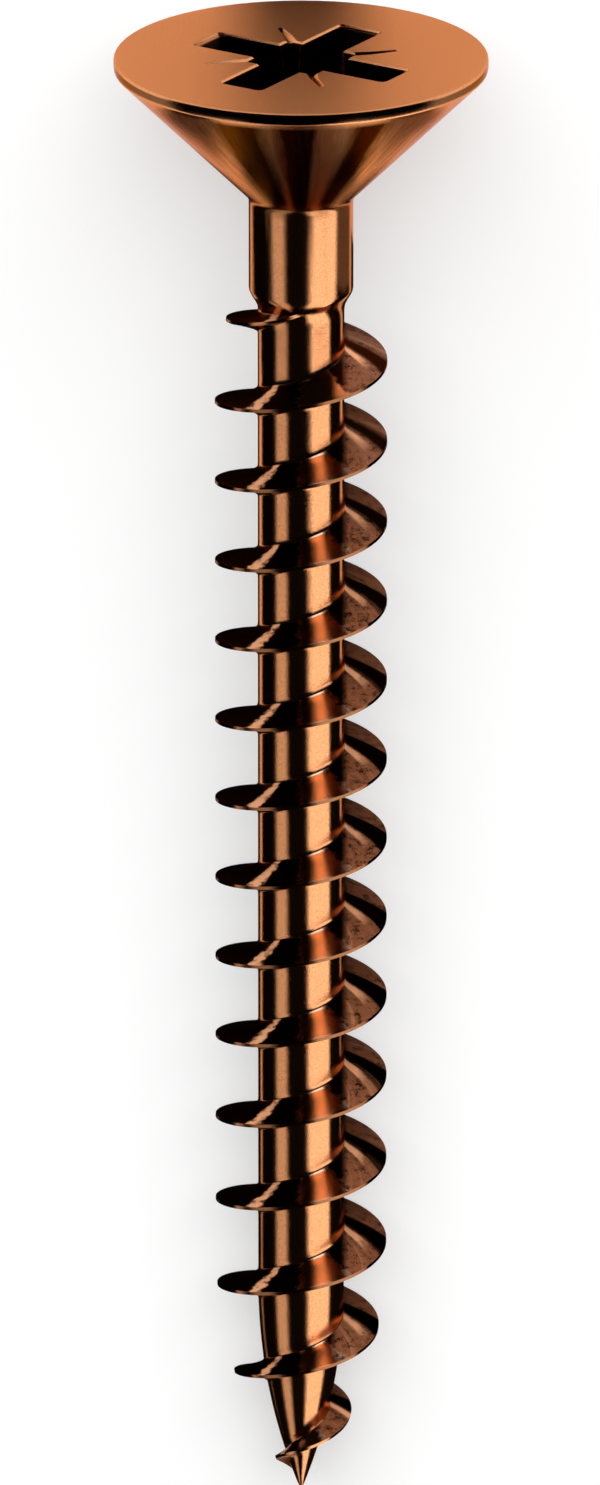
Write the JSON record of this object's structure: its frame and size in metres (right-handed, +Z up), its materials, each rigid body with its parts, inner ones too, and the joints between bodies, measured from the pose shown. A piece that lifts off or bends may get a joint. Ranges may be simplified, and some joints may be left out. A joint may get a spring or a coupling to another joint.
{
  "type": "chipboard screw",
  "caption": "Countersunk chipboard screw with a cross recess, a short plain shank, a coarse right-hand thread and a gimlet point.",
  "frame": {"origin": "centre of the footprint, on the surface the screw lies on", "axes": "+Z up, +Y along the screw towards its head, +X to the right seen from above with the head at the top"},
  "size_m": [0.0098, 0.0402, 0.0098],
  "materials": {
    "screw": "glossy bronze-coloured plating on steel"
  },
  "bodies": {
    "root": {"screw": "screw"}
  },
  "joints": []
}
